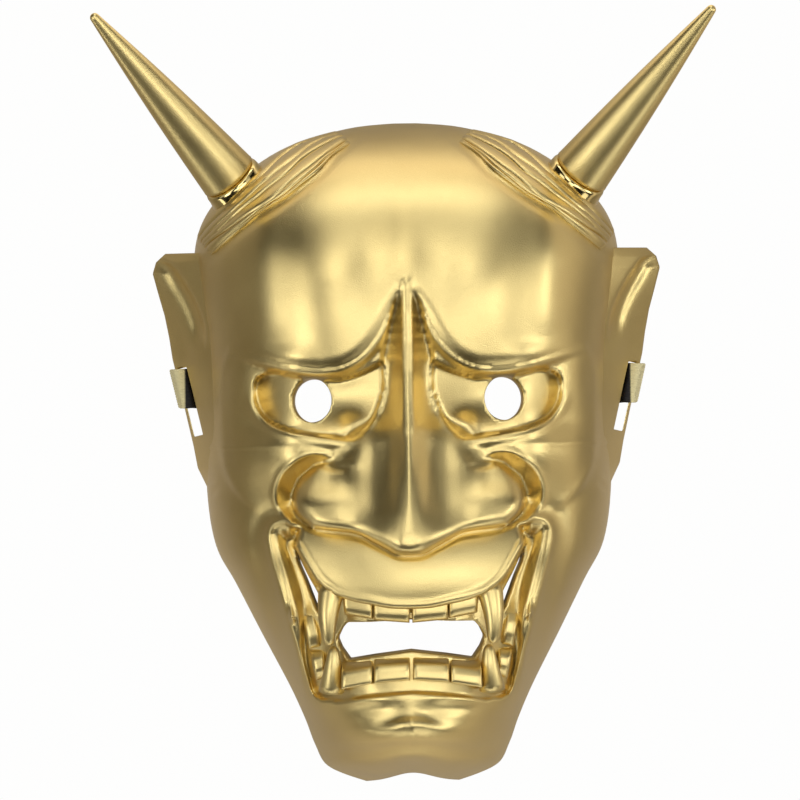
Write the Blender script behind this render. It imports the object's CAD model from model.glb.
import math

import bmesh
import bpy
import numpy as np
from mathutils import Matrix, Vector


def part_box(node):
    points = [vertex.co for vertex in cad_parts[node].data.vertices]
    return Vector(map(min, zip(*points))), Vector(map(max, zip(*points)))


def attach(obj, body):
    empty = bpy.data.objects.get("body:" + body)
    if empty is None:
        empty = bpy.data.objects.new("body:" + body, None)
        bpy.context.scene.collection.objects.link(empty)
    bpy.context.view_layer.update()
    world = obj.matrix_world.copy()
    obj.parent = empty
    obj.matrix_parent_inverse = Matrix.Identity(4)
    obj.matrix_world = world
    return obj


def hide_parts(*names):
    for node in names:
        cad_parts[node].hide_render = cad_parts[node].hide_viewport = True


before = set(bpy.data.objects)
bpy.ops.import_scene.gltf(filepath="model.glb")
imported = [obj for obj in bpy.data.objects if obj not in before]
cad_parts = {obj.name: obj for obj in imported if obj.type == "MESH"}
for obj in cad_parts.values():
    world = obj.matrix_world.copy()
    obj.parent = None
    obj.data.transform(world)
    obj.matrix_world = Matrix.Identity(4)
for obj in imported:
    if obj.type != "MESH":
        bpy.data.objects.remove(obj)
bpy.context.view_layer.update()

MM = 0.001

# Sizes in millimetres, as the solids have them
WALL = 2.2
EYE_X = 33.65
EYE_Y = 0.3
EYE_HOLE_RADII = (7.0, 7.7)
CROWN_Y = 97.6
CHIN_Y = -134.4
HORN_LENGTH = 79.8
HORN_BASE_RADIUS = 10.4
HORN_TIP_RADIUS = 1.7
HORN_SWELL = 0.5
COLLAR_RADIUS = 10.8
COLLAR_LENGTH = 12.0
COLLAR_FOOT_RADIUS = 13.0
GAP = 0.3
EAR_ROOT_X = 69.4
EAR_ROOT_HEIGHT = 29.0
EAR_EDGE_HEIGHT = 6.0
EAR_THICKNESS = 3.0
SLOT_MIDDLE = (76.6, 0.3)
SLOT_LENGTH = 24.5
SLOT_WIDTH = 3.2
SLOT_LEAN = math.atan2(5.5, 23.7)
STRAP_WIDTH = 14.0
STRAP_THICKNESS = 1.2
STRAP_DROOP = 60.0
STRAP_Y = 5.0
STRAP_FLOOR = 0.7
STRAP_RIBS = 15

# How far the head and its carving stand out or sink in
HEAD_DEPTH = 84
BROW_SWELLING = 2
NOSE_TIP = 103.85
FOREHEAD_RIDGE = 0.5
FOREHEAD_LOBE = 1.8
FOREHEAD_HOLLOW = 0.6
TEMPLE_RIDGE = 1.2
HAIR_STEP = 1.7
TUFT_GROOVE = 2.2
BROW_SINK = 1.5
BROW_ROLL = 0.55
BROW_DROP = 3.2
PANEL_STEP = 1.5
PANEL_BEAD = 0.7
CHEEKBONE = 5.6
TEMPLE_SWELLING = 1.5
TEMPLE_HOLLOW = 1.3
CHEEK_VALLEY = 1.4
MUZZLE = 3.4
SOCKET_DEPTH = 7.0
SOCKET_LID = 1.0
EYEBALL = 4.8
INNER_CORNER = 1.6
NOSE_ROLL = 1.15
CRESCENT_DEPTH = 7.5
CRESCENT_BEAD = 0.8
LIP_HEIGHT = 89.6
LIP_BEAD = 1.0
MOUTH_CORNER = 3.2
GUM_HEIGHT = 77
MOUTH_BEAD = 1.9
MOUTH_BEAD_VALLEY = 1.2
CHIN_VALLEY = 1.8
CHIN_MOUND = 4.4
CHIN_KEEL = 0.5
CHIN_ARCH = 1.3
CHIN_ARCH_VALLEY = 1.0
CHIN_CLEFT = 2.2
CHIN_CLEFT_RISE = 2.8
HELIX_RISE = 3.2
HELIX_GROOVE = 2.2

# The head is drawn about the line between the eyes; the frame's origin is under the middle of the whole mask.
SHIFT_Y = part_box("mask_shell")[0][1] / MM - CHIN_Y

# Steps between two points of a carved line
LINE_STEPS = 6


# Carved lines of the right half, from the centre line outwards
def carved_line(points, steps=LINE_STEPS):
    """A smooth curve through the points, as a Catmull-Rom spline."""
    p = np.array(points, float)
    ends = np.vstack([p[0], p, p[-1]])
    out = []
    for i in range(len(p) - 1):
        a, b, c, d = ends[i], ends[i + 1], ends[i + 2], ends[i + 3]
        for k in range(steps):
            t = k / steps
            out.append(
                b + 0.5 * t * (c - a)
                + t * t * (a - 2.5 * b + 2 * c - 0.5 * d)
                + t ** 3 * 0.5 * (3 * (b - c) + d - a)
            )
    out.append(p[-1])
    return np.array(out)


OUTLINE = carved_line([
    (4, CROWN_Y), (20.3, 95.9), (41.3, 89.9), (58, 79.4), (69.9, 66.9), (74.6, 53),
    (73.4, 36), (71.4, 19.2), (71.2, -4), (71.3, -30.8), (68.4, -50.4), (61.4, -64),
    (52.4, -81.9), (43, -100.1), (37.7, -112), (34.2, -121.4), (29.6, -129), (16.4, CHIN_Y),
])
BROW = carved_line([
    (1.4, 38.2), (5.2, 32.6), (8.5, 26), (12.2, 20.2), (17, 15.3), (23.1, 12.2),
    (29.9, 11.3), (36.8, 11.9), (43.5, 13.2), (50.2, 15.1), (56.7, 17.3), (66, 19.6),
])
SOCKET = carved_line([
    (8.6, 14.2), (7.8, 6.4), (9.6, -1.4), (13.2, -8.5), (19, -13.7), (27, -13),
    (35, -11.8), (42.8, -10.1), (49.8, -6.5), (53.8, 0.3), (53.2, 8.1), (46.8, 10.8),
    (39, 8.8), (31.1, 8), (23.1, 8), (15.5, 10.5), (8.6, 14.2),
])
NOSE_EDGE = carved_line([
    (0, -54.4), (4.8, -53.9), (9.1, -51.6), (13.3, -49.3), (17.7, -47), (22.3, -46),
    (27.2, -45.5), (32, -44.8), (36.6, -43.4),
])
WING = carved_line([
    (23.5, -21.4), (30.4, -22.3), (35.2, -24.9), (38.9, -28.9), (40.3, -34.2),
    (38.9, -39.5), (35.1, -43.4),
])
CREASE = carved_line([
    (23.5, -21.4), (29.9, -19.3), (35.3, -19.4), (40.2, -22.1), (44.1, -26),
    (46, -31.2), (45.3, -36.6), (41.5, -40.5), (36.7, -43.2),
])
LIP_EDGE = carved_line([
    (0, -72.5), (7, -72.2), (13.8, -70.9), (20.7, -69.4), (27.1, -66.8), (32.4, -62.4),
    (36.1, -56.5), (39.5, -50.4),
])
MOUTH_RIM = carved_line([
    (37.6, -44.2), (42.4, -43.2), (46.6, -43.8), (48, -47.4), (47, -53.5), (44.9, -61.9),
    (42.8, -70.3), (40.7, -78.8), (38.6, -87.2), (36.8, -95.7), (34, -103.4), (25.9, -105.2),
    (17.3, -104.1), (8.7, -103.1), (0, -102.5),
])
# The step of the mouth's rim at its lower corner, (34, -103.4)
RIM_CORNER = 10 * LINE_STEPS
PANEL_EDGE = carved_line([
    (44, -42.3), (48.5, -41), (53.2, -38.6), (59.9, -33), (64, -26.8), (66, -21), (66.8, -11),
    (67.2, 4), (66.4, 12), (63.5, 18),
])
NOSE_FOOT = carved_line([(1.6, 38), (4.3, 33.9), (6.6, 25), (8.8, 15), (7.7, 11)])
HAIRLINE = carved_line([
    (14.3, 96.5), (18, 92.4), (24.6, 86.5), (30, 80.2), (36, 75.5), (42, 71.2), (48, 67.4),
    (55, 63.2), (61.8, 58), (67, 53), (72.8, 47.6),
])
# Grooves between the strands, from the hairline upwards, and the short ones of the side hair
HAIR = [carved_line(points) for points in (
    [(27.2, 84.7), (31.1, 80.9), (36.1, 76.8), (40, 73.3), (43.9, 70.6), (48.8, 68.2)],
    [
        (17.5, 92.6), (19.8, 90.9), (26.2, 86.5), (32.9, 81.3), (38.9, 76.8), (43.9, 72),
        (47.7, 69.2), (54.8, 64.8), (61.9, 60), (68.2, 55.9), (72, 51.7),
    ],
    [
        (19.5, 94), (22.9, 92), (31, 87.6), (36, 84.1), (41, 79.3), (46.3, 75.5),
        (51.9, 71), (57, 67), (66, 59),
    ],
    [
        (28, 92), (33.5, 88.7), (37.7, 85.2), (43.4, 81.1), (47.6, 77.6), (51, 74.8),
        (60.5, 66), (63.6, 63.5), (69.2, 58.3), (73.5, 53.8),
    ],
    [
        (34, 91.6), (38.7, 88.7), (42.6, 86), (46.2, 82.5), (49, 79.6), (57, 72.6),
        (64.5, 65.6), (69.2, 61.1), (73.1, 56.6),
    ],
)]
TUFTS = [carved_line(points) for points in (
    [(70.8, -1.5), (69.4, -9), (67.4, -18), (66.2, -23)],
    [(71, -9), (70, -16), (68, -23)],
    [(67.6, -24.5), (69.5, -28), (71.2, -31)],
    [(65.8, -28), (68.6, -31.5), (71, -35.5)],
)]

# Areas between the lines, carried well past the centre line so that none has an edge there
PAST_CENTRE = -40
CREASE_AREA = np.vstack([CREASE, WING[::-1]])
MOUTH_AREA = np.vstack([
    MOUTH_RIM, [(PAST_CENTRE, MOUTH_RIM[-1][1]), (PAST_CENTRE, LIP_EDGE[0][1])], LIP_EDGE,
])
NOSE_AREA = np.vstack([
    NOSE_EDGE, WING[::-1], [(22, -8), (PAST_CENTRE, -8), (PAST_CENTRE, NOSE_EDGE[0][1])],
])

# Outlines of the through holes of the right half
EYE_HOLE = np.array([
    (EYE_X + EYE_HOLE_RADII[0] * math.cos(a), EYE_Y + EYE_HOLE_RADII[1] * math.sin(a))
    for a in np.linspace(0, 2 * math.pi, 48, endpoint=False)
])
MOUTH_GAP = np.array([
    (-3, -76.4), (14, -77.2), (22, -77.2), (24.4, -80), (26.2, -83.6), (24.8, -87), (22, -91),
    (13, -89.6), (0, -88), (-3, -88),
])
CORNER_GAP = carved_line([
    (40.2, -50.8), (39.6, -56.5), (37.2, -62.5), (32.6, -74.4), (31.6, -72), (31.9, -68),
    (35.6, -61), (38, -56), (40.2, -50.8),
], steps=4)


# Measures of a whole grid at once
def smooth(t):
    """From 0 to 1 as t does, with level ends."""
    u = np.clip(t, 0, 1)
    return u * u * (3 - 2 * u)


def swell(distance, reach):
    """A bell of height 1 that falls away over the reach."""
    return np.exp(-((distance / reach) ** 2))


def soft_max(a, b, blend):
    """The higher of two levels, rounded where they are closer than the blend."""
    h = np.clip(0.5 + (a - b) / (2 * blend), 0, 1)
    return b + (a - b) * h + blend * h * (1 - h)


def nearest_on(line, x, y):
    """Signed distance to a line, positive on its left, and the foot on it."""
    best = np.full(x.shape, np.inf)
    signed, foot_x, foot_y = np.zeros(x.shape), np.zeros(x.shape), np.zeros(x.shape)
    for a, b in zip(line[:-1], line[1:]):
        d = b - a
        t = np.clip(((x - a[0]) * d[0] + (y - a[1]) * d[1]) / max(d @ d, 1e-12), 0, 1)
        fx, fy = a[0] + t * d[0], a[1] + t * d[1]
        away = np.hypot(x - fx, y - fy)
        closer = away < best
        left = d[0] * (y - fy) - d[1] * (x - fx) >= 0
        best = np.where(closer, away, best)
        signed = np.where(closer, np.where(left, away, -away), signed)
        foot_x, foot_y = np.where(closer, fx, foot_x), np.where(closer, fy, foot_y)
    return signed, foot_x, foot_y


def away_from(line, x, y):
    """Signed distance to a line, positive on its left."""
    return nearest_on(line, x, y)[0]


def inside_of(area, x, y):
    """Distance to the edge of a closed area, positive inside it."""
    inside = np.zeros(x.shape, bool)
    for a, b in zip(area, np.roll(area, -1, axis=0)):
        if a[1] != b[1]:
            edge = a[0] + (y - a[1]) / (b[1] - a[1]) * (b[0] - a[0])
            inside ^= ((a[1] > y) != (b[1] > y)) & (x < edge)
    away = np.abs(away_from(np.vstack([area, area[:1]]), x, y))
    return np.where(inside, away, -away)


def value_at(table, y):
    """The value at y from a table of (y, value) that runs downwards."""
    t = np.array(table[::-1], float)
    return np.interp(y, t[:, 0], t[:, 1])


def half_width(y):
    """How far out the head's outline lies."""
    return value_at([(b, a) for a, b in OUTLINE], y)


# The plain head, and the carving on it
def centre_depth(y):
    """Depth of the plain head along its centre line."""
    crown_share = np.clip((y - 30) / (CROWN_Y - 30), 0, 1)
    chin_share = np.clip((-100 - y) / (-100 - CHIN_Y), 0, 1)
    crown = (1 - crown_share ** 2.4) ** (1 / 2.2)
    chin = (1 - chin_share ** 3.2) ** 0.5
    return (HEAD_DEPTH + BROW_SWELLING * smooth((y + 20) / 50)) * crown * chin


def plain_head(side, y):
    """The head before it is carved, squarer across the brow than across the chin."""
    share = np.clip(side / half_width(y), 0, 1)
    chin_full = 2.1 + 0.6 * smooth((y + 130) / 50)
    fullness = chin_full + (3.5 - chin_full) * smooth((y + 70) / 110)
    return centre_depth(y) * (1 - share ** fullness) ** (1 / 2.15)


# Heights of the nose across, for sections from below the eyes down to the tip
NOSE_ACROSS = (0, 3, 7, 12, 18, 25, 32, 40)
NOSE_SECTIONS = (
    (-12, (92.2, 89.0, 84.6, 81.6, 81.0, 83.0, 83.0, 82.0)),
    (-16, (93.6, 90.6, 86.2, 83.4, 83.4, 85.4, 85.0, 83.0)),
    (-22, (95.6, 93.2, 88.8, 86.2, 85.8, 86.6, 85.8, 84.0)),
    (-28, (98.0, 96.2, 92.0, 89.2, 88.6, 88.8, 87.6, 85.0)),
    (-35, (100.6, 99.4, 96.0, 93.0, 92.2, 92.2, 90.8, 87.4)),
    (-41, (102.6, 102.0, 99.6, 96.6, 94.8, 94.2, 92.4, 88.6)),
    (-47, (103.9, 103.6, 102.0, 99.4, 97.0, 95.0, 92.4, 88.8)),
    (-56, (103.9, 103.6, 102.2, 99.8, 97.0, 94.6, 92.0, 88.8)),
)
# Heights of the nose's ridge and foot down its length, and how far out the foot lies
RIDGE = [
    (44, 87.2), (38, 86.4), (30, 85.4), (20, 85.4), (10, 86.6), (0, 88.8), (-10, 91.6), (-22, 95.6),
]
FOOT = [(38, 85), (33, 81.5), (25, 78.8), (15, 77), (5, 76.4), (-5, 77.2), (-12, 79.6), (-22, 85)]
FOOT_ACROSS = [
    (40, 1.7), (38, 2.2), (33.9, 4.3), (25, 6.6), (15, 8.8), (11, 8.2), (3, 8.6), (-2, 10), (-8.5, 13.4),
    (-13, 18), (-22, 23),
]


def between(t, a, b, first, last):
    """The smooth step from a to b, with its slopes at the two ends."""
    return (
        (2 * t ** 3 - 3 * t ** 2 + 1) * a + (t ** 3 - 2 * t ** 2 + t) * first
        + (3 * t ** 2 - 2 * t ** 3) * b + (t ** 3 - t ** 2) * last
    )


def blended(values, places, at):
    """Smooth curve through values at the places, level at the first, for a whole grid."""
    places = np.array(places, float)
    values = np.array(values, float)
    slope = np.gradient(values, places, axis=0)
    slope[0] = 0
    i = np.clip(np.searchsorted(places, at) - 1, 0, len(places) - 2)
    step = places[i + 1] - places[i]
    t = np.clip((at - places[i]) / step, 0, 1)
    return between(t, values[i], values[i + 1], slope[i] * step, slope[i + 1] * step)


def forehead(side, y, plain):
    """Two lobes over the brows, the step up to the hair, and the side hair's grooves."""
    rounded = np.hypot(side, 3.0) - 3.0
    ridge = FOREHEAD_RIDGE * swell(side, 5.5) * smooth((y - 34) / 16) * (1 - smooth((y - 62) / 28))
    lobe = FOREHEAD_LOBE * swell(rounded - 27, 16) * swell(y - 38, 26)
    hollow = FOREHEAD_HOLLOW * swell(rounded - 10, 7) * swell(y - 46, 12)
    temple = TEMPLE_RIDGE * swell(side - 50, 6) * smooth((y - 16) / 14) * (1 - smooth((y - 60) / 16))
    z = plain + ridge + lobe - hollow + temple
    hairline = away_from(HAIRLINE, side, y)
    there = smooth((side - 13) / 4) * smooth((y - 46) / 5)
    z = z + there * (HAIR_STEP * smooth(hairline / 2.0) - 0.9 * swell(hairline + 1.4, 1.5))
    for line in TUFTS:
        away, foot_x, foot_y = nearest_on(line, side, y)
        taper = smooth(np.hypot(foot_x - line[0][0], foot_y - line[0][1]) / 5)
        taper = taper * smooth(np.hypot(foot_x - line[-1][0], foot_y - line[-1][1]) / 5)
        z = z - TUFT_GROOVE * swell(away, 1.2) * taper
    return z


def brow_fold(side, y):
    """The brow sinks a little towards its edge, rolls over it and drops to the eye."""
    brow = away_from(BROW, side, y)
    fade = 1 - 0.8 * smooth((side - 50) / 14)
    near_nose = np.maximum(smooth((side - 1.5) / 2.5), smooth((16 - y) / 10))
    above = -BROW_SINK * np.clip(1 - brow / 4.5, 0, 1) ** 2
    over = np.clip(-brow / 3.3, 0, 1)
    roll = BROW_ROLL * np.sin(math.pi * np.clip(-brow / 2.4, 0, 1))
    roll = roll - BROW_DROP * (1 - np.sqrt(1 - over ** 2 * 0.998))
    return np.where(brow > 0, above, roll - BROW_SINK) * fade * near_nose


def panel(side, y):
    """The middle of the face stands proud of the sides along a soft edge."""
    edge = away_from(PANEL_EDGE, side, y)
    reach = smooth((22 - y) / 8) * smooth((y + 43) / 18)
    inside = smooth((edge + 0.8) / 2.2)
    step = PANEL_STEP * inside + PANEL_BEAD * swell(edge - 1.6, 1.5)
    return reach * step * smooth((side - 30) / 14)


def cheeks(side, y):
    """Cheekbone, temple and the fullness beside the mouth, with the hollows between them."""
    cheekbone = CHEEKBONE * swell(side - 46, 20) * swell(y + 18, 10)
    cheekbone = cheekbone * smooth((10 - y) / 14) * smooth((side - 14) / 10)
    temple = TEMPLE_SWELLING * swell(side - 58, 7) * swell(y - 6, 9)
    hollow = TEMPLE_HOLLOW * swell(side - 56, 9) * swell(y + 8, 5)
    valley = CHEEK_VALLEY * swell(away_from(PANEL_EDGE, side, y) + 2.6, 3.4)
    valley = valley * smooth((-18 - y) / 10) * smooth((y + 42) / 16)
    muzzle = MUZZLE * swell(side - 53, 10) * swell(y + 60, 24)
    return cheekbone + temple - hollow - valley + muzzle


def eye_socket(side, y):
    """A sunk socket with a lid below it, and the eyeball standing up round its hole."""
    socket = inside_of(SOCKET, side, y)
    lid = SOCKET_LID * swell(socket + 1.5, 1.5) * smooth((4 - y) / 6) * smooth((side - 16) / 5)
    eyeball = np.hypot((side - EYE_X + 2) / 17, (y - EYE_Y - 1) / 10.5)
    corner = INNER_CORNER * swell(np.hypot(side - 20, y + 9), 4)
    return lid - smooth(socket / 1.3 + 0.1) * (SOCKET_DEPTH - EYEBALL * swell(eyeball, 1) + corner)


def nose_body(side, y):
    """Height of the nose below the eyes, from its sections."""
    levels = np.array([level for level, _ in NOSE_SECTIONS[::-1]], float)
    out = np.clip(side, 0, NOSE_ACROSS[-1])
    stack = np.array([blended(row, NOSE_ACROSS, out) for _, row in NOSE_SECTIONS[::-1]])
    slopes = np.gradient(stack, levels, axis=0)
    at = np.clip(y, levels[0], levels[-1])
    low = np.clip(np.searchsorted(levels, at) - 1, 0, len(levels) - 2)
    i, j = np.indices(side.shape)
    step = levels[low + 1] - levels[low]
    t = (at - levels[low]) / step
    first, last = slopes[low, i, j] * step, slopes[low + 1, i, j] * step
    return between(t, stack[low, i, j], stack[low + 1, i, j], first, last)


def from_wing_top(side, y):
    """Distance from where the wing and the crescent meet at their upper ends."""
    return np.hypot(side - WING[0][0], y - WING[0][1])


def nose(side, y, face):
    """A ridge with hollow flanks between the eyes, which widens into the nose and its tip."""
    ridge, foot, foot_side = value_at(RIDGE, y), value_at(FOOT, y), value_at(FOOT_ACROSS, y)
    flank = np.clip((side - 1.5) / np.maximum(foot_side - 1.5, 0.4), 0, 1)
    bridge = ridge - 0.5 * smooth(side / 1.6) - (ridge - 0.5 - foot) * (1 - (1 - flank) ** 1.9)
    on_bridge = smooth((foot_side - side) / (1.6 + 10 * smooth((-5 - y) / 9)) + 0.5)
    on_bridge = on_bridge * smooth((44 - y) / 5) * smooth((y + 40) / 10)
    upper = face + (bridge - face) * on_bridge
    inside = inside_of(NOSE_AREA, side, y)
    reach = 5.0
    fall = reach - np.sqrt(np.clip(reach ** 2 - (reach - np.clip(inside, 0, reach)) ** 2, 0, None))
    body = nose_body(side, y) - NOSE_ROLL * fall * smooth((-20 - y) / 4)
    down = smooth((-6 - y) / 12)
    merge = 1 - smooth((side - 12) / 11) * smooth((y + 37) / 24)
    tip = 1 - smooth(from_wing_top(side, y) / 8)
    edge = np.where(y < -16, smooth(inside / (1.1 + 9 * tip) + 0.02 + 0.48 * tip), 1)
    edge = edge + (1 - edge) * smooth((y + 22) / 5) * smooth((27 - side) / 4)
    return upper + (body - upper) * down * merge * edge


def crescent(side, y, z):
    """The bowl round the wing of the nose, deepest against the wing."""
    inside = inside_of(CREASE_AREA, side, y)
    rim, wing = np.abs(away_from(CREASE, side, y)), np.abs(away_from(WING, side, y))
    across = rim / np.maximum(rim + wing, 0.01)
    depth = CRESCENT_DEPTH * np.clip((rim + wing) / 5.6, 0, 1) * smooth(from_wing_top(side, y) / 7)
    edge = CRESCENT_BEAD * swell(inside + 1.0, 1.0) * smooth((side - 27) / 5) * (rim < wing)
    return z - depth * across ** 0.75 * smooth(inside / 0.5 + 0.1) + edge * smooth(-inside / 0.5)


def upper_lip(side, y, face):
    """A full lip below the nose, with a bead along its lower edge."""
    bead = LIP_BEAD * swell(away_from(LIP_EDGE, side, y) - 1.0, 1.0)
    lip = LIP_HEIGHT - 9.4 * (side / 39) ** 2 - 1.7 * ((y + 61) / 11) ** 2 + bead
    below = smooth(-away_from(NOSE_EDGE, side, y) / 1.2 + 0.1)
    share = below * smooth((43 - side) / 3) * smooth((y + 78) / 3)
    return face + (lip - face) * share


def mouth(side, y, face, bare):
    """A beaded rim, a wall that slopes in from it, and the gum behind the teeth."""
    inside = inside_of(MOUTH_AREA, side, y)
    to_rim, to_lip = np.abs(away_from(MOUTH_RIM, side, y)), np.abs(away_from(LIP_EDGE, side, y))
    at_side = smooth((side - 20) / 12)
    fuller = MOUTH_CORNER * swell(to_rim - 1.5, 4.5) * smooth((side - 26) / 8) * smooth((-56 - y) / 20)
    face, bare = face + fuller, bare + fuller
    gum = -soft_max(13 * (side / 45) ** 2 - GUM_HEIGHT, 2.6 + 4.0 * at_side - bare, 2)
    wall = np.clip((to_rim - 0.6) / (3.5 + 2.5 * at_side), 0, 1)
    slope = bare - (bare - gum) * smooth(wall) ** 0.9
    near_rim = smooth((to_lip - to_rim) / 2 + 0.5) * smooth((side - 39.5) / 3 + smooth((-46 - y) / 4))
    bead = MOUTH_BEAD * swell(to_rim - 1.3, 1.5) - MOUTH_BEAD_VALLEY * swell(to_rim - 6.0, 2.8)
    inner = gum + (np.maximum(slope, gum) - gum) * near_rim
    step = smooth(inside / 1.1 + 0.05)
    return face + np.where(inside < 0, near_rim * bead, 0) + (inner - face) * step


def chin(side, y):
    """A mound between the valleys under the lip and the arched edge of the chin, with a cleft below."""
    valley = CHIN_VALLEY * swell(side - 15, 9) * swell(y + 107.5, 2.4)
    start = -108.6 - 2.6 * smooth(side / 13)
    mound = CHIN_MOUND * smooth((start - y) / 5) * swell(side, 17)
    mound = mound * (1 - 0.75 * smooth((-117.5 - y) / 5))
    keel = CHIN_KEEL * swell(side, 1.6) * swell(y + 116, 5)
    arch = y + 124.3 + 2.9 * smooth((side - 2) / 14)
    edge = CHIN_ARCH * swell(arch, 2.2) - CHIN_ARCH_VALLEY * swell(arch - 4.2, 2.4)
    edge = edge * (1 - smooth((side - 24) / 9))
    return mound - valley + keel + edge - CHIN_CLEFT * swell(side, 6) * smooth((-124 - y) / 8)


def carved_head(x, y):
    """Height of the carved head above the table, at places of either half."""
    side = np.abs(x)
    plain = plain_head(side, y)
    z = forehead(side, y, plain)
    for relief in (brow_fold, cheeks, panel, eye_socket):
        z = z + relief(side, y)
    z = nose(side, y, z)
    z = crescent(side, y, z)
    z = mouth(side, y, upper_lip(side, y, z), z) + chin(side, y)
    return np.minimum(plain + (z - plain) * smooth(plain / 20), NOSE_TIP)


MIRROR = np.array([-1, 1, 1])


# Grids whose points move onto the carved lines, so that a crease is crisp
def hold_on(lines, x, y, free):
    """Moves the nearer end of each grid edge that crosses a line onto that line."""
    for line in lines:
        away, foot_x, foot_y = nearest_on(line, x, y)
        for axis in (0, 1):
            first = (slice(0, -1), slice(None)) if axis == 0 else (slice(None), slice(0, -1))
            second = (slice(1, None), slice(None)) if axis == 0 else (slice(None), slice(1, None))
            length = np.hypot(x[first] - x[second], y[first] - y[second])
            crosses = (away[first] * away[second] < 0) & (
                np.abs(away[first]) + np.abs(away[second]) < 1.4 * length
            )
            nearer = np.abs(away[first]) < np.abs(away[second])
            for part, chosen in ((first, crosses & nearer), (second, crosses & ~nearer)):
                take = chosen & free[part]
                x[part] = np.where(take, foot_x[part], x[part])
                y[part] = np.where(take, foot_y[part], y[part])
                free[part] = free[part] & ~take
    return x, y


def hold_round(areas, x, y):
    """The cells inside the areas, with the points round them moved onto the areas' outlines."""
    middle_x = (x[:-1, :-1] + x[1:, 1:] + x[:-1, 1:] + x[1:, :-1]) / 4
    middle_y = (y[:-1, :-1] + y[1:, 1:] + y[:-1, 1:] + y[1:, :-1]) / 4
    every = np.zeros(middle_x.shape, bool)
    for area in areas:
        cut = inside_of(area, middle_x, middle_y) > 0
        padded = np.pad(cut, 1)
        round_it = np.stack([padded[:-1, :-1], padded[1:, :-1], padded[:-1, 1:], padded[1:, 1:]])
        rim = round_it.any(0) & ~round_it.all(0)
        _, foot_x, foot_y = nearest_on(np.vstack([area, area[:1]]), x, y)
        x, y = np.where(rim, foot_x, x), np.where(rim, foot_y, y)
        every |= cut
    return x, y, every


def lowest_near(z, reach):
    """The least value within reach grid steps, softened a little."""
    low = z.copy()
    for axis in (0, 1):
        source = low.copy()
        for step in range(1, reach + 1):
            for way in (-step, step):
                shifted = np.roll(source, way, axis=axis)
                low = np.minimum(low, shifted)
    for axis in (0, 1):
        total = sum(np.roll(low, way, axis=axis) for way in range(-reach, reach + 1))
        low = total / (2 * reach + 1)
    return low


def closed_sheet(name, outer, inner, cut):
    """A piece with an outer and an inner wall, joined round its edge and round its holes."""
    bm = bmesh.new()
    sheet_into(bm, outer, inner, cut)
    return finished(name, bm)


def sheet_into(bm, outer, inner, cut):
    """Adds a closed mesh from two like grids of points, with the cut cells left out."""
    rows, columns = outer.shape[:2]
    place = bm.verts.layers.int.get("place") or bm.verts.layers.int.new("place")
    grid = bmesh.ops.create_grid(bm, x_segments=columns - 1, y_segments=rows - 1, size=1.0)["verts"]
    faces = dict.fromkeys(f for v in grid for f in v.link_faces)
    for v in grid:
        i = round((v.co.x + 1) / 2 * (columns - 1))
        j = round((1 - v.co.y) / 2 * (rows - 1))
        v[place] = j * columns + i
    kept, dropped = [], []
    for f in faces:
        corner = min(v[place] for v in f.verts)
        (dropped if cut[corner // columns, corner % columns] else kept).append(f)
    bmesh.ops.delete(bm, geom=dropped, context="FACES")
    grid = dict.fromkeys(v for f in kept for v in f.verts)
    made = bmesh.ops.extrude_face_region(bm, geom=kept)
    flat_outer, flat_inner = outer.reshape(-1, 3), inner.reshape(-1, 3)
    for v in grid:
        v.co = flat_inner[v[place]]
    for v in made["geom"]:
        if isinstance(v, bmesh.types.BMVert):
            v.co = flat_outer[v[place]]


def finished(name, bm, merged=False):
    """The bmesh as a smooth-shaded object in metres, in the frame's place."""
    if merged:
        bmesh.ops.remove_doubles(bm, verts=bm.verts[:], dist=0.01)
        bmesh.ops.recalc_face_normals(bm, faces=bm.faces[:])
    loose = [v for v in bm.verts if not v.link_faces]
    bmesh.ops.delete(bm, geom=loose, context="VERTS")
    if bm.verts.layers.int.get("place"):
        bm.verts.layers.int.remove(bm.verts.layers.int["place"])
    bmesh.ops.translate(bm, verts=bm.verts[:], vec=(0, SHIFT_Y, 0))
    bmesh.ops.scale(bm, verts=bm.verts[:], vec=(MM, MM, MM))
    for f in bm.faces:
        f.smooth = True
    mesh = bpy.data.meshes.new(name)
    bm.to_mesh(mesh)
    bm.free()
    piece = bpy.data.objects.new(name, mesh)
    bpy.context.scene.collection.objects.link(piece)
    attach(piece, "root")
    return piece


def face_rows():
    """Rows from crown to chin, close together where the carving is fine."""
    crown = CROWN_Y - 6 * np.linspace(0, 1, 10, endpoint=False) ** 1.8
    forehead_rows = np.linspace(CROWN_Y - 6, 46, 56, endpoint=False)
    fine = np.linspace(46, -106, 170, endpoint=False)
    chin_rows = CHIN_Y + 28.4 * np.linspace(1, 0, 32) ** 1.5
    return np.concatenate([crown, forehead_rows, fine, chin_rows])


# Rows of the grid lie along a level above the brow, the nose's edge, the lip's, the mouth's lower rim and
# the chin. Each line is given with the level of its row, and runs on past the side of the head.
BEYOND = 80
ROW_GUIDES = (
    (46.0, [(0, 46), (BEYOND, 46)]),
    (-49.5, [*NOSE_EDGE, (BEYOND, -43.4)]),
    (-66.0, [*LIP_EDGE, (46, -54), (60, -61), (BEYOND, -62)]),
    (-103.5, [*MOUTH_RIM[:RIM_CORNER - 1:-1], (42, -103.5), (BEYOND, -103.5)]),
    (CHIN_Y, [(0, CHIN_Y), (BEYOND, CHIN_Y)]),
)
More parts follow.
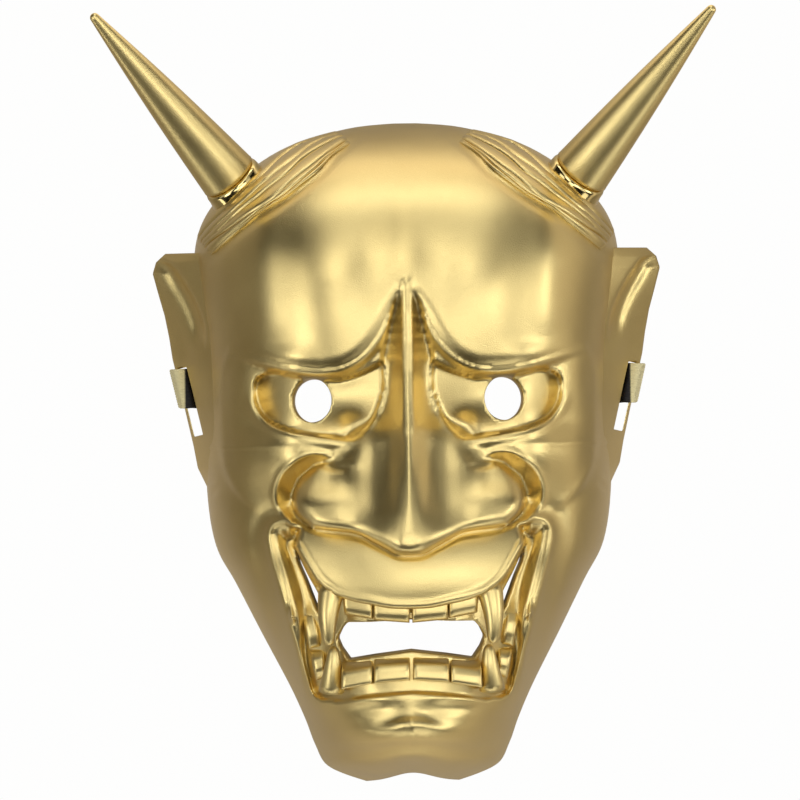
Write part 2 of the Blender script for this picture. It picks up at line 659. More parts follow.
# One column follows the side rim of the mouth; from chin to crown, as (y, side)
COLUMN_GUIDE = (
    (CHIN_Y, 12), (-118, 24), (-108, 31), (-103.4, 34), (-95.7, 36.8), (-87.2, 38.6), (-78.8, 40.7),
    (-70.3, 42.8), (-61.9, 44.9), (-53.5, 47), (-45, 48.2), (-30, 50), (20, 50), (60, 46), (85, 34),
    (CROWN_Y, 2.6),
)
GUIDED_SHARE = 0.68
HALF_COLUMNS = 92
LEAST_HEIGHT = 0.5
LEAST_INSIDE = 0.2


def guided_grid():
    """Places of the right half's grid points, with rows and columns drawn along the main edges."""
    t = np.linspace(0, 1, HALF_COLUMNS + 1)
    rows = face_rows()
    x = t[None, :] * half_width(rows)[:, None]
    y = np.repeat(rows[:, None], HALF_COLUMNS + 1, axis=1)
    levels = np.array([level for level, _ in ROW_GUIDES])
    curves = np.array([np.interp(x, *np.array(points).T) for _, points in ROW_GUIDES])
    for k in range(len(levels) - 1):
        down = (levels[k] - rows[:, None]) / (levels[k] - levels[k + 1])
        band = (rows[:, None] <= levels[k]) & (rows[:, None] > levels[k + 1])
        y = np.where(band, curves[k] + (curves[k + 1] - curves[k]) * down, y)
    edge = np.maximum(half_width(y), 1)
    guide = np.minimum(np.interp(y, *np.array(COLUMN_GUIDE).T), 0.9 * edge)
    near, far = t / GUIDED_SHARE, (t - GUIDED_SHARE) / (1 - GUIDED_SHARE)
    x = np.where(t < GUIDED_SHARE, guide * near, guide + (edge - guide) * far)
    return x, y


def make_face():
    """The face with its inner wall, drawn as a right half and mirrored."""
    x, y = guided_grid()
    free = np.ones(x.shape, bool)
    free[0], free[-1], free[:, -1] = False, False, False
    centre = x[:, 0].copy()
    lines = [BROW, NOSE_FOOT, SOCKET, NOSE_EDGE, LIP_EDGE, WING, CREASE]
    x, y = hold_on(lines, x, y, free)
    x[:, 0] = centre
    x, y, cut = hold_round([EYE_HOLE, MOUTH_GAP, CORNER_GAP], x, y)
    x[:, 0] = centre
    z = np.maximum(carved_head(x, y), LEAST_HEIGHT)
    z[0], z[-1], z[:, -1] = 0, 0, 0
    low = lowest_near(np.hstack([z[:, :0:-1], z]), 3)[:, HALF_COLUMNS:]
    low = np.maximum(np.minimum(low, z) - WALL, LEAST_INSIDE)
    low[0], low[-1], low[:, -1] = 0, 0, 0
    y = y + CHIN_CLEFT_RISE * swell(x, 9) * smooth((-122 - y) / 12)
    middle_y = (CROWN_Y + CHIN_Y) / 2
    inner_x = x * (1 - WALL / half_width(y))
    inner_y = middle_y + (y - middle_y) * (1 - WALL / (CROWN_Y - middle_y))
    outer = np.stack([x, y, z], axis=2)
    inner = np.stack([inner_x, inner_y, low], axis=2)
    outer = np.concatenate([outer[:, :0:-1] * MIRROR, outer], axis=1)
    inner = np.concatenate([inner[:, :0:-1] * MIRROR, inner], axis=1)
    return closed_sheet("face", outer, inner, np.concatenate([cut[:, ::-1], cut], axis=1))


# Hair, laid on the head as sheets of their own, with the strands along them
STRANDS_ALONG = np.array((0.77, -0.64))
STRANDS_ACROSS = np.array((0.64, 0.77))
STRAND_STATIONS = np.linspace(-45, 21, 120)
STRAND_SHARES = (0, 0.05, 0.1, 0.17, 0.3, 0.42, 0.55, 0.68, 0.8, 0.88, 0.94)
STRAND_GROOVE = 1.5
GROOVE_SHARE = 0.17
LEAST_STRAND = 0.7
HAIR_SINK = 0.8
HAIR_UNDER = 1.4


def make_hair(name, way):
    """A sheet of rounded strands with grooves between them, sunk into the head at its edge."""
    stations = STRAND_STATIONS
    rim = OUTLINE[OUTLINE[:, 1] > 45]
    lines = [np.interp(stations, HAIRLINE @ STRANDS_ALONG, HAIRLINE @ STRANDS_ACROSS)]
    depths = [np.zeros(len(stations))]
    for line in HAIR:
        along = line @ STRANDS_ALONG
        lines.append(np.interp(stations, along, line @ STRANDS_ACROSS))
        depths.append(smooth((stations - along[0]) / 6) * smooth((along[-1] - stations) / 6 + 0.2))
    lines.append(np.interp(stations, rim @ STRANDS_ALONG, rim @ STRANDS_ACROSS) - 1.2)
    depths.append(np.zeros(len(stations)))
    for k in range(len(lines) - 2, -1, -1):
        lines[k] = np.minimum(lines[k], lines[k + 1] - LEAST_STRAND)
    across, lift = [], []
    for k in range(len(lines) - 1):
        for share in STRAND_SHARES:
            near, far = 1 - smooth(share / GROOVE_SHARE), 1 - smooth((1 - share) / GROOVE_SHARE)
            groove = STRAND_GROOVE * (depths[k] * near + depths[k + 1] * far)
            across.append(lines[k] + (lines[k + 1] - lines[k]) * share)
            lift.append(0.5 + 0.4 * math.sin(math.pi * share) - groove)
    across.append(lines[-1])
    lift.append(np.zeros(len(stations)))
    across, lift = np.array(across[::-1]), np.array(lift[::-1])
    lift[0], lift[-1] = -HAIR_SINK, -HAIR_SINK
    ends = smooth((stations - stations[0]) / 4) * smooth((stations[-1] - stations) / 3)
    lift = -HAIR_SINK + (lift + HAIR_SINK) * ends[None, :]
    place = stations[None, :, None] * STRANDS_ALONG + across[:, :, None] * STRANDS_ACROSS
    x, y = place[..., 0], place[..., 1]
    z = carved_head(x, y)
    normal = np.stack([z - carved_head(x + 1, y), z - carved_head(x, y + 1), np.ones(z.shape)], axis=2)
    normal /= np.linalg.norm(normal, axis=2)[..., None]
    base = np.stack([x, y, z], axis=2)
    outer, inner = base + normal * lift[..., None], base - normal * HAIR_UNDER
    if way < 0:
        outer, inner = outer[:, ::-1] * MIRROR, inner[:, ::-1] * MIRROR
    return closed_sheet(name, outer, inner, np.zeros((x.shape[0] - 1, x.shape[1] - 1), bool))


# Ears: how far out the rim reaches, from the top down as (y, x), and the fold inside it
EAR_EDGE = [
    (52.6, 84.8), (49.6, 88.2), (45.6, 89.4), (38, 87.4), (30.8, 85.4), (23, 83.9), (15.4, 82.8),
    (7.8, 81), (0.1, 79.2), (-7.6, 77.5), (-15.2, 75.8), (-23, 74.4), (-31, 70.6),
]
HELIX = carved_line([
    (90, 50.6), (88.7, 50.3), (85.4, 49.6), (82, 47.2), (77.7, 41), (74.4, 34.8), (72.2, 28.6), (71.2, 21.3),
])


def ear_height(x, y):
    """The plain ear slopes from its root down to its rim."""
    edge = value_at(EAR_EDGE, y)
    share = (x - EAR_ROOT_X) / np.maximum(edge - EAR_ROOT_X, 0.5)
    root = EAR_ROOT_HEIGHT * (1 - 0.35 * smooth((-2 - y) / 30))
    return root + (EAR_EDGE_HEIGHT - root) * share


def slot_outline():
    """Corners of the strap's slot."""
    corners = []
    for a, b in ((-1, -1), (1, -1), (1, 1), (-1, 1)):
        across, along = a * SLOT_WIDTH / 2, b * SLOT_LENGTH / 2
        corners.append((
            SLOT_MIDDLE[0] + across * math.cos(SLOT_LEAN) + along * math.sin(SLOT_LEAN),
            SLOT_MIDDLE[1] - across * math.sin(SLOT_LEAN) + along * math.cos(SLOT_LEAN),
        ))
    return np.array(corners)


def make_ear(name, way):
    """A bent plate with a raised fold along its upper rim and the strap's slot through it."""
    columns, rows = 40, 140
    share = np.linspace(-0.25, 1, columns)
    y_rows = np.linspace(EAR_EDGE[0][0], EAR_EDGE[-1][0], rows)
    edge = value_at(EAR_EDGE, y_rows)
    y = np.repeat(y_rows[:, None], columns, axis=1)
    x = EAR_ROOT_X + (edge - EAR_ROOT_X)[:, None] * share[None, :]
    x, y, cut = hold_round([slot_outline()], x, y)
    away = away_from(HELIX, x, y)
    fold = HELIX_RISE * smooth(-away / 1.6 + 0.3)
    fold = fold - HELIX_GROOVE * swell(away - 2.2, 2.2) * smooth((89 - x) / 8)
    hollow = swell(value_at(EAR_EDGE, y) - x - 5, 3.5) * smooth((30 - y) / 12) * smooth((y + 4) / 8)
    z = ear_height(x, y) + smooth((y - 18) / 10) * fold - hollow
    outer = np.stack([x, y, z], axis=2)
    inner = np.stack([x, y, z - EAR_THICKNESS], axis=2)
    if way < 0:
        outer, inner, cut = outer[:, ::-1] * MIRROR, inner[:, ::-1] * MIRROR, cut[:, ::-1]
    return closed_sheet(name, outer, inner, cut)


# Horns and collars, turned about their own line
HORN_FOOT = Vector((61.6, 78.9, 36.0))
HORN_LEAN = Vector((47.2, 57.4, 30.0)).normalized()


def turned(name, profile, way, steps=64):
    """A profile of (radius, height) turned about the horn's own line."""
    bm = bmesh.new()
    verts = [bm.verts.new((radius, 0, height)) for radius, height in profile]
    edges = [bm.edges.new(pair) for pair in zip(verts[:-1], verts[1:])]
    bmesh.ops.spin(
        bm, geom=verts + edges, cent=(0, 0, 0), axis=(0, 0, 1), angle=2 * math.pi, steps=steps,
        use_merge=True, use_duplicate=False,
    )
    lean = Vector((HORN_LEAN.x * way, HORN_LEAN.y, HORN_LEAN.z))
    foot = Vector((HORN_FOOT.x * way, HORN_FOOT.y, HORN_FOOT.z))
    turn = lean.to_track_quat("Z", "Y").to_matrix().to_4x4()
    bmesh.ops.transform(bm, matrix=Matrix.Translation(foot) @ turn, verts=bm.verts[:])
    return finished(name, bm, merged=True)


def make_horn(name, way):
    """A slightly swelling cone with a round tip, which stands just clear of its collar."""
    profile = [(0.0, GAP), (HORN_BASE_RADIUS - 0.6, GAP), (HORN_BASE_RADIUS, GAP + 0.5)]
    body = HORN_LENGTH - HORN_TIP_RADIUS
    for share in np.linspace(0.02, 1, 28):
        radius = HORN_BASE_RADIUS + (HORN_TIP_RADIUS - HORN_BASE_RADIUS) * share
        profile.append((radius + HORN_SWELL * math.sin(math.pi * share), GAP + (body - GAP) * share))
    for turn in np.linspace(0.2, 1, 7):
        angle = turn * math.pi / 2
        profile.append((HORN_TIP_RADIUS * math.cos(angle), body + HORN_TIP_RADIUS * math.sin(angle)))
    profile[-1] = (0.0, HORN_LENGTH)
    return turned(name, profile, way)


def make_collar(name, way):
    """The boss under the horn, flared where it meets the head."""
    foot = COLLAR_LENGTH
    profile = [
        (0.0, -foot), (COLLAR_FOOT_RADIUS, -foot), (COLLAR_RADIUS + 1.3, -foot * 0.72),
        (COLLAR_RADIUS + 0.6, -foot * 0.45), (COLLAR_RADIUS + 0.1, -foot * 0.25), (COLLAR_RADIUS, -1.4),
        (COLLAR_RADIUS - 0.3, -0.6), (COLLAR_RADIUS - 0.9, -0.1), (COLLAR_RADIUS - 1.4, 0), (0.0, 0),
    ]
    return turned(name, profile, way)


# Teeth and fangs
TEETH_CURVE = 0.004


def tooth(bm, corners, heights, bottom, way, soft=1.1):
    """A pillowed block over four corners, from the gum's inner end round to the biting edge's."""
    a, b, c, d = (np.array(corner, float) for corner in corners)
    u = (1 - np.cos(np.linspace(0, math.pi, 13))) / 2
    v = (1 - np.cos(np.linspace(0, math.pi, 17))) / 2
    uu, vv = np.meshgrid(u, v)
    place = (
        a * ((1 - uu) * (1 - vv))[..., None] + b * (uu * (1 - vv))[..., None]
        + c * (uu * vv)[..., None] + d * ((1 - uu) * vv)[..., None]
    )
    wide, tall = np.linalg.norm(b - a), np.linalg.norm(d - a)
    edge = np.minimum(np.minimum(uu, 1 - uu) * wide, np.minimum(vv, 1 - vv) * tall)
    over = 1 - np.clip(edge / soft, 0, 1)
    top = np.interp(vv, np.linspace(0, 1, len(heights)), heights)
    top = top - soft * (1 - np.sqrt(1 - over ** 2 * 0.999)) - TEETH_CURVE * place[..., 0] ** 2
    place[..., 0] *= way
    outer = np.concatenate([place, top[..., None]], axis=2)
    inner = np.concatenate([place, np.full(top.shape + (1,), bottom)], axis=2)
    if way < 0:
        outer, inner = outer[:, ::-1], inner[:, ::-1]
    sheet_into(bm, outer[::-1], inner[::-1], np.zeros((len(v) - 1, len(u) - 1), bool))


def fang(bm, base, tip, base_radius, tip_radius, height, drop, side):
    """A bent, tapering round tooth with a blunt end."""
    start, end = Vector((base[0], base[1], height)), Vector((tip[0], tip[1], height - drop))
    axis = end - start
    turn = axis.to_track_quat("Z", "Y").to_matrix().to_4x4()
    shares = [0, 0.15, 0.3, 0.45, 0.6, 0.75, 0.88, 0.95, 0.985, 1.0]
    rings = []
    for share in shares:
        bend = Vector((1.0 * side * math.sin(math.pi * share), 0, 1.0 * math.sin(math.pi * share)))
        radius = tip_radius + (base_radius - tip_radius) * (1 - share) ** 0.8
        if share > 0.9:
            radius *= math.sqrt(max(1 - ((share - 0.9) / 0.105) ** 2, 0.08))
        made = bmesh.ops.create_circle(bm, cap_ends=False, radius=radius, segments=24)
        place = Matrix.Translation(start + axis * share + bend) @ turn
        bmesh.ops.transform(bm, matrix=place, verts=made["verts"])
        rings.append(made["verts"])
    for low, high in zip(rings[:-1], rings[1:]):
        edges = dict.fromkeys(
            edge for ring in (low, high) for vert in ring for edge in vert.link_edges
            if set(edge.verts) <= set(ring)
        )
        bmesh.ops.bridge_loops(bm, edges=list(edges))
    for ring in (rings[0], rings[-1]):
        bmesh.ops.contextual_create(bm, geom=ring)


# Each tooth's corners, and its heights from the gum to the biting edge; below, how far back each row reaches
UPPER_TEETH = (
    (((0.3, -68), (13.0, -68), (12.9, -76.6), (0.5, -77.6)), (84, 84.1, 84.1, 84, 82.6)),
    (((13.4, -67), (23.8, -65), (23.2, -74.4), (13.4, -76.2)), (84, 84.1, 84.1, 84, 82.6)),
)
LOWER_TEETH = (
    (((0.5, -97.6), (13.2, -98.6), (13.0, -88.6), (0.6, -88.0)), (81.6, 81.7, 81.6, 80.8, 77.4, 71)),
    (((13.7, -98.7), (24.6, -100.6), (24.2, -90.6), (13.6, -89.2)), (81.6, 81.7, 81.6, 80.8, 77.4, 71)),
)
SIDE_TEETH = (
    (((45.2, -46.6), (40.4, -50.0), (39.8, -61.0), (42.9, -57)), (64.5, 65.5, 65.5, 64.5)),
    (((42.2, -57.9), (39.0, -61.9), (33.7, -73.2), (38.3, -73.4)), (65.5, 66.5, 67.5, 66)),
    (((38.2, -74.2), (33.4, -73.8), (31.6, -85.6), (35.8, -86.6)), (66.5, 68, 68, 66)),
    (((35.6, -87.2), (30.6, -86.2), (30.0, -96.6), (33.4, -97.6)), (64.5, 67, 67, 64)),
)
UPPER_BACK, LOWER_BACK, SIDE_BACK = 70, 68, 50


def make_teeth():
    """The front teeth, the teeth at the sides and the four fangs, as one piece."""
    bm = bmesh.new()
    for way in (-1, 1):
        for corners, heights in UPPER_TEETH:
            tooth(bm, corners[::-1], heights[::-1], UPPER_BACK, way)
        for corners, heights in LOWER_TEETH:
            tooth(bm, corners, heights, LOWER_BACK, way)
        for corners, heights in SIDE_TEETH:
            tooth(bm, corners, heights, SIDE_BACK, way, soft=1.4)
        fang(
            bm, base=(27.0 * way, -64), tip=(28.6 * way, -85.2), base_radius=4.9, tip_radius=1.7,
            height=79, drop=-1.5, side=way,
        )
        fang(
            bm, base=(28.0 * way, -101.2), tip=(27.0 * way, -85.6), base_radius=4.6, tip_radius=1.4,
            height=68, drop=-5, side=-way * 0.2,
        )
    return finished("teeth", bm)


# Strap
def strap_route():
    """Places along the strap and the way its width points, from one ear's slot to the other's."""
    lean = (math.sin(SLOT_LEAN), math.cos(SLOT_LEAN), 0)
    slot_x = SLOT_MIDDLE[0] + (STRAP_Y - SLOT_MIDDLE[1]) * math.tan(SLOT_LEAN)
    edge_x = float(value_at(EAR_EDGE, STRAP_Y))
    bar_x = slot_x + SLOT_WIDTH / 2
    bar_top = float(ear_height(bar_x, STRAP_Y))
    clear = GAP + STRAP_THICKNESS / 2
    low = STRAP_FLOOR + STRAP_THICKNESS / 2
    bar_under = bar_top - EAR_THICKNESS
    loop = [
        (slot_x - 0.5, bar_under - 1), (slot_x - 0.3, bar_under + 1.3), (slot_x - 0.35, bar_top + 1.3),
        (bar_x + 0.8, bar_top + clear + 0.6), (edge_x + clear, EAR_EDGE_HEIGHT + 1),
        (edge_x + clear + 0.7, EAR_EDGE_HEIGHT - 1.4), (edge_x + clear, low + 0.9),
        (edge_x - 1, low + 0.1), (slot_x - 3, low),
    ]
    stations = [((x, STRAP_Y, z), lean) for x, z in loop]
    droop = [(67, 0.02), (60, 0.13), (52.5, 0.4), (42, 0.7), (28, 0.91), (14, 0.985), (0, 1)]
    hanging = [(x, STRAP_Y - share * STRAP_DROOP, low) for x, share in droop]
    for i, at in enumerate(hanging):
        before = hanging[i - 1] if i else stations[-1][0]
        after = hanging[i + 1] if i + 1 < len(hanging) else (-before[0], before[1], low)
        stations.append((at, (after[1] - before[1], before[0] - after[0], 0)))
    mirrored = [((-a[0], a[1], a[2]), (-w[0], w[1], w[2])) for a, w in stations[-2::-1]]
    return stations + mirrored


def make_strap():
    """The ribbed band along its route, thinner between the ribs and at its edges."""
    route = strap_route()
    centre = carved_line([at for at, _ in route], 8)
    wide = carved_line([Vector(w).normalized() for _, w in route], 8)
    columns = STRAP_RIBS * 6 + 1
    rows = len(centre)
    ahead = np.gradient(centre, axis=0)
    ahead /= np.linalg.norm(ahead, axis=1)[:, None]
    wide = wide - (wide * ahead).sum(1)[:, None] * ahead
    wide /= np.linalg.norm(wide, axis=1)[:, None]
    thick = np.cross(ahead, wide)
    u = np.linspace(-0.5, 0.5, columns)
    rib = 0.5 + 0.5 * np.abs(np.cos(math.pi * STRAP_RIBS * (u + 0.5) + math.pi / 2)) ** 0.7
    half_thick = STRAP_THICKNESS / 2 * (0.45 + 0.55 * rib)
    edge_fall = np.sqrt(np.clip(1 - (np.abs(u) * 2) ** 24, 0.02, 1))
    half_thick = half_thick * edge_fall
    flat = centre[:, None, :] + wide[:, None, :] * (u * STRAP_WIDTH)[None, :, None]
    upper = flat + thick[:, None, :] * half_thick[None, :, None]
    lower = flat - thick[:, None, :] * half_thick[None, :, None]
    cut = np.zeros((rows - 1, columns - 1), bool)
    return closed_sheet("strap", upper, lower, cut)


# Materials
def add_node(tree, kind, values=None, **settings):
    """A shader node, with its settings made before its inputs get their values."""
    made = tree.nodes.new("ShaderNode" + kind)
    for key, value in settings.items():
        setattr(made, key, value)
    for key, value in (values or {}).items():
        made.inputs[key].default_value = value
    return made


# The paint: grains and tone patches to the metre, its two tones, and how much the gloss varies
FLAKE_SCALE = 2800
PATCH_SCALE = 45
PAINT_TONES = ((0.3, (0.74, 0.565, 0.225, 1)), (0.7, (0.82, 0.645, 0.27, 1)))
GLOSS_RANGE = {"From Min": 0.3, "From Max": 0.7, "To Min": 0.92, "To Max": 1.1}
FLAKE_HEIGHT = 0.00012


def sprayed_gold_group():
    """Fine sparkle and slow tone changes of a sprayed metallic paint, from a place in metres."""
    group = bpy.data.node_groups.new("sprayed_gold", "ShaderNodeTree")
    sockets = group.interface
    sockets.new_socket(name="Place", in_out="INPUT", socket_type="NodeSocketVector")
    for name, value in (("Grain", 1.0), ("Rough", 0.32)):
        made = sockets.new_socket(name=name, in_out="INPUT", socket_type="NodeSocketFloat")
        made.default_value = value
    sockets.new_socket(name="Color", in_out="OUTPUT", socket_type="NodeSocketColor")
    for name in ("Roughness", "Height"):
        sockets.new_socket(name=name, in_out="OUTPUT", socket_type="NodeSocketFloat")
    link = group.links.new
    start, end = group.nodes.new("NodeGroupInput"), group.nodes.new("NodeGroupOutput")
    flakes = add_node(group, "TexNoise", {"Scale": FLAKE_SCALE, "Detail": 1})
    patches = add_node(group, "TexNoise", {"Scale": PATCH_SCALE, "Detail": 3})
    blend = add_node(group, "Mix", {"Factor": 0.6}, data_type="FLOAT")
    tone = add_node(group, "ValToRGB")
    for stop, (position, color) in zip(tone.color_ramp.elements, PAINT_TONES):
        stop.position = position
        stop.color = color
    spread = add_node(group, "MapRange", GLOSS_RANGE)
    rougher = add_node(group, "Math", operation="MULTIPLY")
    taller = add_node(group, "Math", operation="MULTIPLY")
    link(start.outputs["Place"], flakes.inputs["Vector"])
    link(start.outputs["Place"], patches.inputs["Vector"])
    link(flakes.outputs["Fac"], blend.inputs["A"])
    link(patches.outputs["Fac"], blend.inputs["B"])
    link(blend.outputs["Result"], tone.inputs["Fac"])
    link(patches.outputs["Fac"], spread.inputs["Value"])
    link(spread.outputs["Result"], rougher.inputs[0])
    link(start.outputs["Rough"], rougher.inputs[1])
    link(flakes.outputs["Fac"], taller.inputs[0])
    link(start.outputs["Grain"], taller.inputs[1])
    link(tone.outputs["Color"], end.inputs["Color"])
    link(rougher.outputs["Value"], end.inputs["Roughness"])
    link(taller.outputs["Value"], end.inputs["Height"])
    return group


PAINT = sprayed_gold_group()


def gold_paint(name, rough, grain, bump):
    """The sprayed gold, at the gloss and grain that one kind of piece has."""
    material = bpy.data.materials.new(name)
    material.use_nodes = True
    tree = material.node_tree
    link = tree.links.new
    shader = tree.nodes["Principled BSDF"]
    shader.inputs["Metallic"].default_value = 1.0
    place = add_node(tree, "TexCoord")
    paint = add_node(tree, "Group", node_tree=PAINT)
    paint.inputs["Grain"].default_value = grain
    paint.inputs["Rough"].default_value = rough
    relief = add_node(tree, "Bump", {"Strength": bump, "Distance": FLAKE_HEIGHT})
    link(place.outputs["Object"], paint.inputs["Place"])
    link(paint.outputs["Color"], shader.inputs["Base Color"])
    link(paint.outputs["Roughness"], shader.inputs["Roughness"])
    link(paint.outputs["Height"], relief.inputs["Height"])
    link(relief.outputs["Normal"], shader.inputs["Normal"])
    return material


# The strap is black inside the mask, and its ribs are gilt from this far out, in metres
GILT_START = {"From Min": 0.0782, "From Max": 0.0788}
THREAD_SCALE = 1800


def webbing():
    """Ribbed black elastic with fine threads, gilt where it loops round the ears."""
    material = bpy.data.materials.new("ribbed_elastic")
    material.use_nodes = True
    tree = material.node_tree
    link = tree.links.new
    shader = tree.nodes["Principled BSDF"]
    shader.inputs["Roughness"].default_value = 0.75
    place = add_node(tree, "TexCoord")
    threads = add_node(tree, "TexNoise", {"Scale": THREAD_SCALE})
    split = add_node(tree, "SeparateXYZ")
    apart = add_node(tree, "Math", operation="ABSOLUTE")
    gilt = add_node(tree, "MapRange", GILT_START)
    colors = {"A": (0.012, 0.010, 0.009, 1), "B": (0.78, 0.68, 0.36, 1)}
    tone = add_node(tree, "Mix", colors, data_type="RGBA")
    relief = add_node(tree, "Bump", {"Strength": 0.4, "Distance": 0.0002})
    link(place.outputs["Object"], threads.inputs["Vector"])
    link(place.outputs["Object"], split.inputs["Vector"])
    link(split.outputs["X"], apart.inputs[0])
    link(apart.outputs["Value"], gilt.inputs["Value"])
    link(gilt.outputs["Result"], tone.inputs["Factor"])
    link(tone.outputs["Result"], shader.inputs["Base Color"])
    link(threads.outputs["Fac"], relief.inputs["Height"])
    link(relief.outputs["Normal"], shader.inputs["Normal"])
    return material


SATIN = gold_paint("satin_gold", rough=0.33, grain=1.0, bump=0.55)
SMOOTH = gold_paint("smooth_gold", rough=0.36, grain=0.6, bump=0.3)
GLOSS = gold_paint("gloss_gold", rough=0.14, grain=0.4, bump=0.05)
ELASTIC = webbing()


def dress(piece, material):
    """Gives a piece its material, and names the record's slot for it."""
    piece.data.materials.clear()
    piece.data.materials.append(material)


face = make_face()
dress(face, SATIN)
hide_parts("mask_shell")
teeth = make_teeth()
dress(teeth, SMOOTH)
for label, way in (("left", -1), ("right", 1)):
    dress(make_hair(label + "_hair", way), SATIN)
    ear = make_ear(label + "_ear", way)
    dress(ear, SATIN)
    collar = make_collar(label + "_collar", way)
    dress(collar, GLOSS)
    cone = make_horn(label + "_horn_cone", way)
    dress(cone, SMOOTH)
    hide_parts(label + "_horn")
strap = make_strap()
dress(strap, ELASTIC)
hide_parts("head_strap")


# Floor, light and camera
# The floor glows as a lit table does, and the paint mirrors it. The rows below give how brightly, to the
# right, above, to the left and below, at distances in half spans. A half span is about half the head's
# width, or half its height, in metres.
HALF_SPAN = (0.070, 0.118)
GLOW_REACH = (1.0, 1.5, 2.2, 4.0, 9.0)
GLOW = (
    ((1, 0, 0), (0.18, 0.05, 0.00, 0.31, 0.20)),
    ((0, 1, 0), (0.06, 0.28, 1.00, 0.00, 0.00)),
    ((-1, 0, 0), (0.19, 0.03, 0.00, 0.00, 0.00)),
    ((0, -1, 0), (0.11, 0.11, 0.30, 0.00, 0.00)),
)
GLOW_COLOR = (2.0, 1.82, 1.68, 1)
FLOOR_COLOR = (0.22, 0.19, 0.15, 1)
FLOOR_SEEN = (0.99, 0.99, 0.985, 1)
FLOOR_HALF = 4.0


def floor_glow(tree):
    """How brightly each place of the floor glows, as a node's output."""
    link = tree.links.new
    place = add_node(tree, "TexCoord")
    scale = (1 / HALF_SPAN[0], 1 / HALF_SPAN[1], 0)
    scaled = add_node(tree, "VectorMath", {1: scale}, operation="MULTIPLY")
    away = add_node(tree, "VectorMath", operation="LENGTH")
    toward = add_node(tree, "VectorMath", operation="NORMALIZE")
    reach = add_node(tree, "Math", {1: GLOW_REACH[-1]}, operation="DIVIDE")
    link(place.outputs["Object"], scaled.inputs[0])
    link(scaled.outputs["Vector"], away.inputs[0])
    link(scaled.outputs["Vector"], toward.inputs[0])
    link(away.outputs["Value"], reach.inputs[0])
    total = None
    for way, values in GLOW:
        ramp = add_node(tree, "ValToRGB")
        stops = ramp.color_ramp.elements
        while len(stops) < len(GLOW_REACH):
            stops.new(0.5)
        for stop, at, value in zip(stops, GLOW_REACH, values):
            stop.position = at / GLOW_REACH[-1]
            stop.color = (value, value, value, 1)
        facing = add_node(tree, "VectorMath", {1: way}, operation="DOT_PRODUCT")
        ahead = add_node(tree, "Math", {1: 0}, operation="MAXIMUM")
        share = add_node(tree, "Math", operation="MULTIPLY")
        part = add_node(tree, "Math", operation="MULTIPLY")
        link(toward.outputs["Vector"], facing.inputs[0])
        link(facing.outputs["Value"], ahead.inputs[0])
        link(ahead.outputs["Value"], share.inputs[0])
        link(ahead.outputs["Value"], share.inputs[1])
        link(reach.outputs["Value"], ramp.inputs["Fac"])
        link(ramp.outputs["Color"], part.inputs[0])
        link(share.outputs["Value"], part.inputs[1])
        if total is None:
            total = part.outputs["Value"]
            continue
        both = add_node(tree, "Math", operation="ADD")
        link(total, both.inputs[0])
        link(part.outputs["Value"], both.inputs[1])
        total = both.outputs["Value"]
    return total


def make_floor():
    """A floor that the camera sees as plain pale, and the mask as a lit table."""
    bm = bmesh.new()
    bmesh.ops.create_grid(bm, x_segments=1, y_segments=1, size=FLOOR_HALF)
    mesh = bpy.data.meshes.new("floor")
    bm.to_mesh(mesh)
    bm.free()
    floor = bpy.data.objects.new("floor", mesh)
    bpy.context.scene.collection.objects.link(floor)
    material = bpy.data.materials.new("pale_floor")
    material.use_nodes = True
    tree = material.node_tree
    link = tree.links.new
    shader = tree.nodes["Principled BSDF"]
    shader.inputs["Base Color"].default_value = FLOOR_COLOR
    shader.inputs["Roughness"].default_value = 0.9
    shader.inputs["Emission Color"].default_value = GLOW_COLOR
    seen = add_node(tree, "Emission", {"Color": FLOOR_SEEN})
    path = add_node(tree, "LightPath")
    choose = add_node(tree, "MixShader")
    link(floor_glow(tree), shader.inputs["Emission Strength"])
    link(path.outputs["Is Camera Ray"], choose.inputs[0])
    link(shader.outputs[0], choose.inputs[1])
    link(seen.outputs[0], choose.inputs[2])
    link(choose.outputs[0], tree.nodes["Material Output"].inputs["Surface"])
    mesh.materials.append(material)


# Soft boxes on a dome round the mask: azimuth and height in degrees, and watts
BOX_DISTANCE = 2.2
BOX_SIZES = {3: (1.7, 0.4), 18: (1.15, 0.85), 42: (1.0, 0.85), 64: (0.9, 0.85), 82: (0.8, 0.85)}
SOFT_BOXES = (
    (90, 3, 6.0), (225, 3, 4.1), (270, 3, 5.5), (315, 3, 0.1), (0, 18, 9.0), (60, 18, 0.6),
    (90, 18, 3.5), (180, 18, 1.5), (300, 18, 4.3), (18, 42, 2.1), (54, 42, 1.2), (90, 42, 3.3),
    (162, 42, 4.1), (198, 42, 8.7), (342, 42, 2.9), (0, 64, 6.9), (103, 64, 6.3), (225, 82, 4.4),
    (315, 82, 2.8),
)
BOX_COLOR = (1.0, 1.02, 1.06)
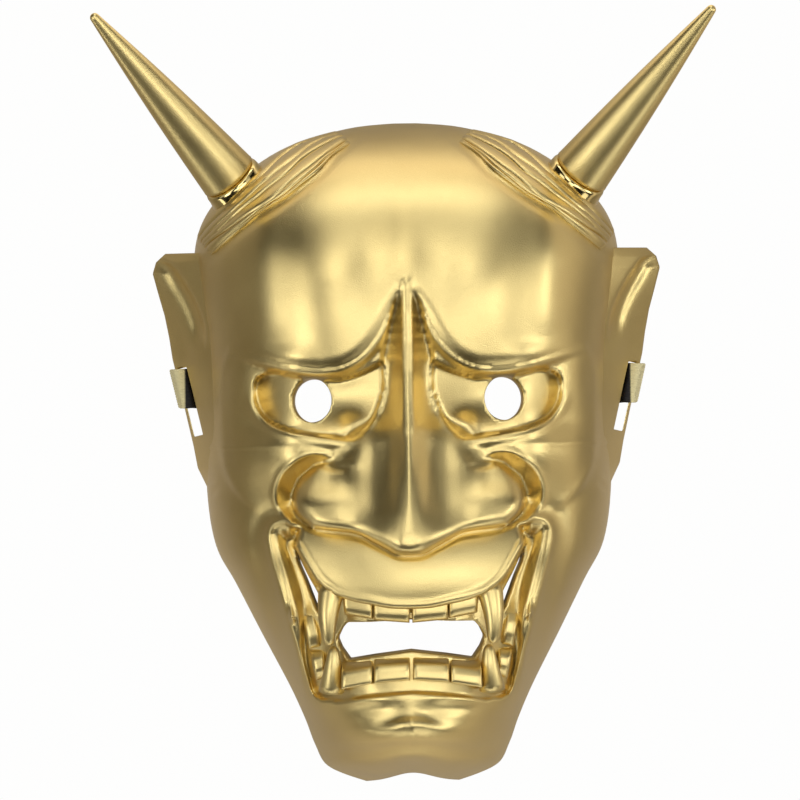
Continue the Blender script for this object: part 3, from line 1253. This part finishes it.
# The dome's middle above the floor in metres, higher for the boxes that stand on the floor
DOME_MIDDLE = 0.05
LOW_BOX_MIDDLE = 0.12
LOW_BOX = 10


def soft_box(azimuth, height, watts):
    """One lamp, turned to the mask and out of the camera's sight."""
    data = bpy.data.lights.new(f"soft_box_{azimuth}_{height}", "AREA")
    data.shape = "RECTANGLE"
    data.size, data.size_y = BOX_SIZES[height]
    data.energy = watts
    data.color = BOX_COLOR
    lamp = bpy.data.objects.new(data.name, data)
    lamp.visible_camera = False
    turn, lift = math.radians(azimuth), math.radians(height)
    way = Vector((math.cos(turn) * math.cos(lift), math.sin(turn) * math.cos(lift), math.sin(lift)))
    middle = LOW_BOX_MIDDLE if height < LOW_BOX else DOME_MIDDLE
    lamp.location = way * BOX_DISTANCE + Vector((0, 0, middle))
    lamp.rotation_euler = (-way).to_track_quat("-Z", "Y").to_euler()
    bpy.context.scene.collection.objects.link(lamp)


# The camera looks straight down from far off; lengths in metres, but the sensor in millimetres
CAMERA_HEIGHT = 6.0
CAMERA_X = -0.0028
CAMERA_TURN = -0.75
SEEN_WIDTH = 0.280
SEEN_LEVEL = 0.05
SENSOR = 36


def make_camera():
    """Turned a little, as the mask lies in the photograph."""
    data = bpy.data.cameras.new("camera")
    data.sensor_width = SENSOR
    data.lens = SENSOR * CAMERA_HEIGHT / SEEN_WIDTH
    camera = bpy.data.objects.new("camera", data)
    camera.location = (CAMERA_X, SHIFT_Y * MM, CAMERA_HEIGHT + SEEN_LEVEL)
    camera.rotation_euler = (0, 0, math.radians(CAMERA_TURN))
    bpy.context.scene.collection.objects.link(camera)
    bpy.context.scene.camera = camera


def make_room():
    """A nearly dark room, so that the soft boxes and the floor alone light the mask."""
    world = bpy.data.worlds.new("room")
    world.use_nodes = True
    air = world.node_tree.nodes["Background"]
    air.inputs["Color"].default_value = (0.01, 0.01, 0.01, 1)
    air.inputs["Strength"].default_value = 1.0
    bpy.context.scene.world = world
    bpy.context.scene.view_settings.view_transform = "Standard"


make_floor()
make_camera()
for azimuth, height, watts in SOFT_BOXES:
    soft_box(azimuth, height, watts)
make_room()
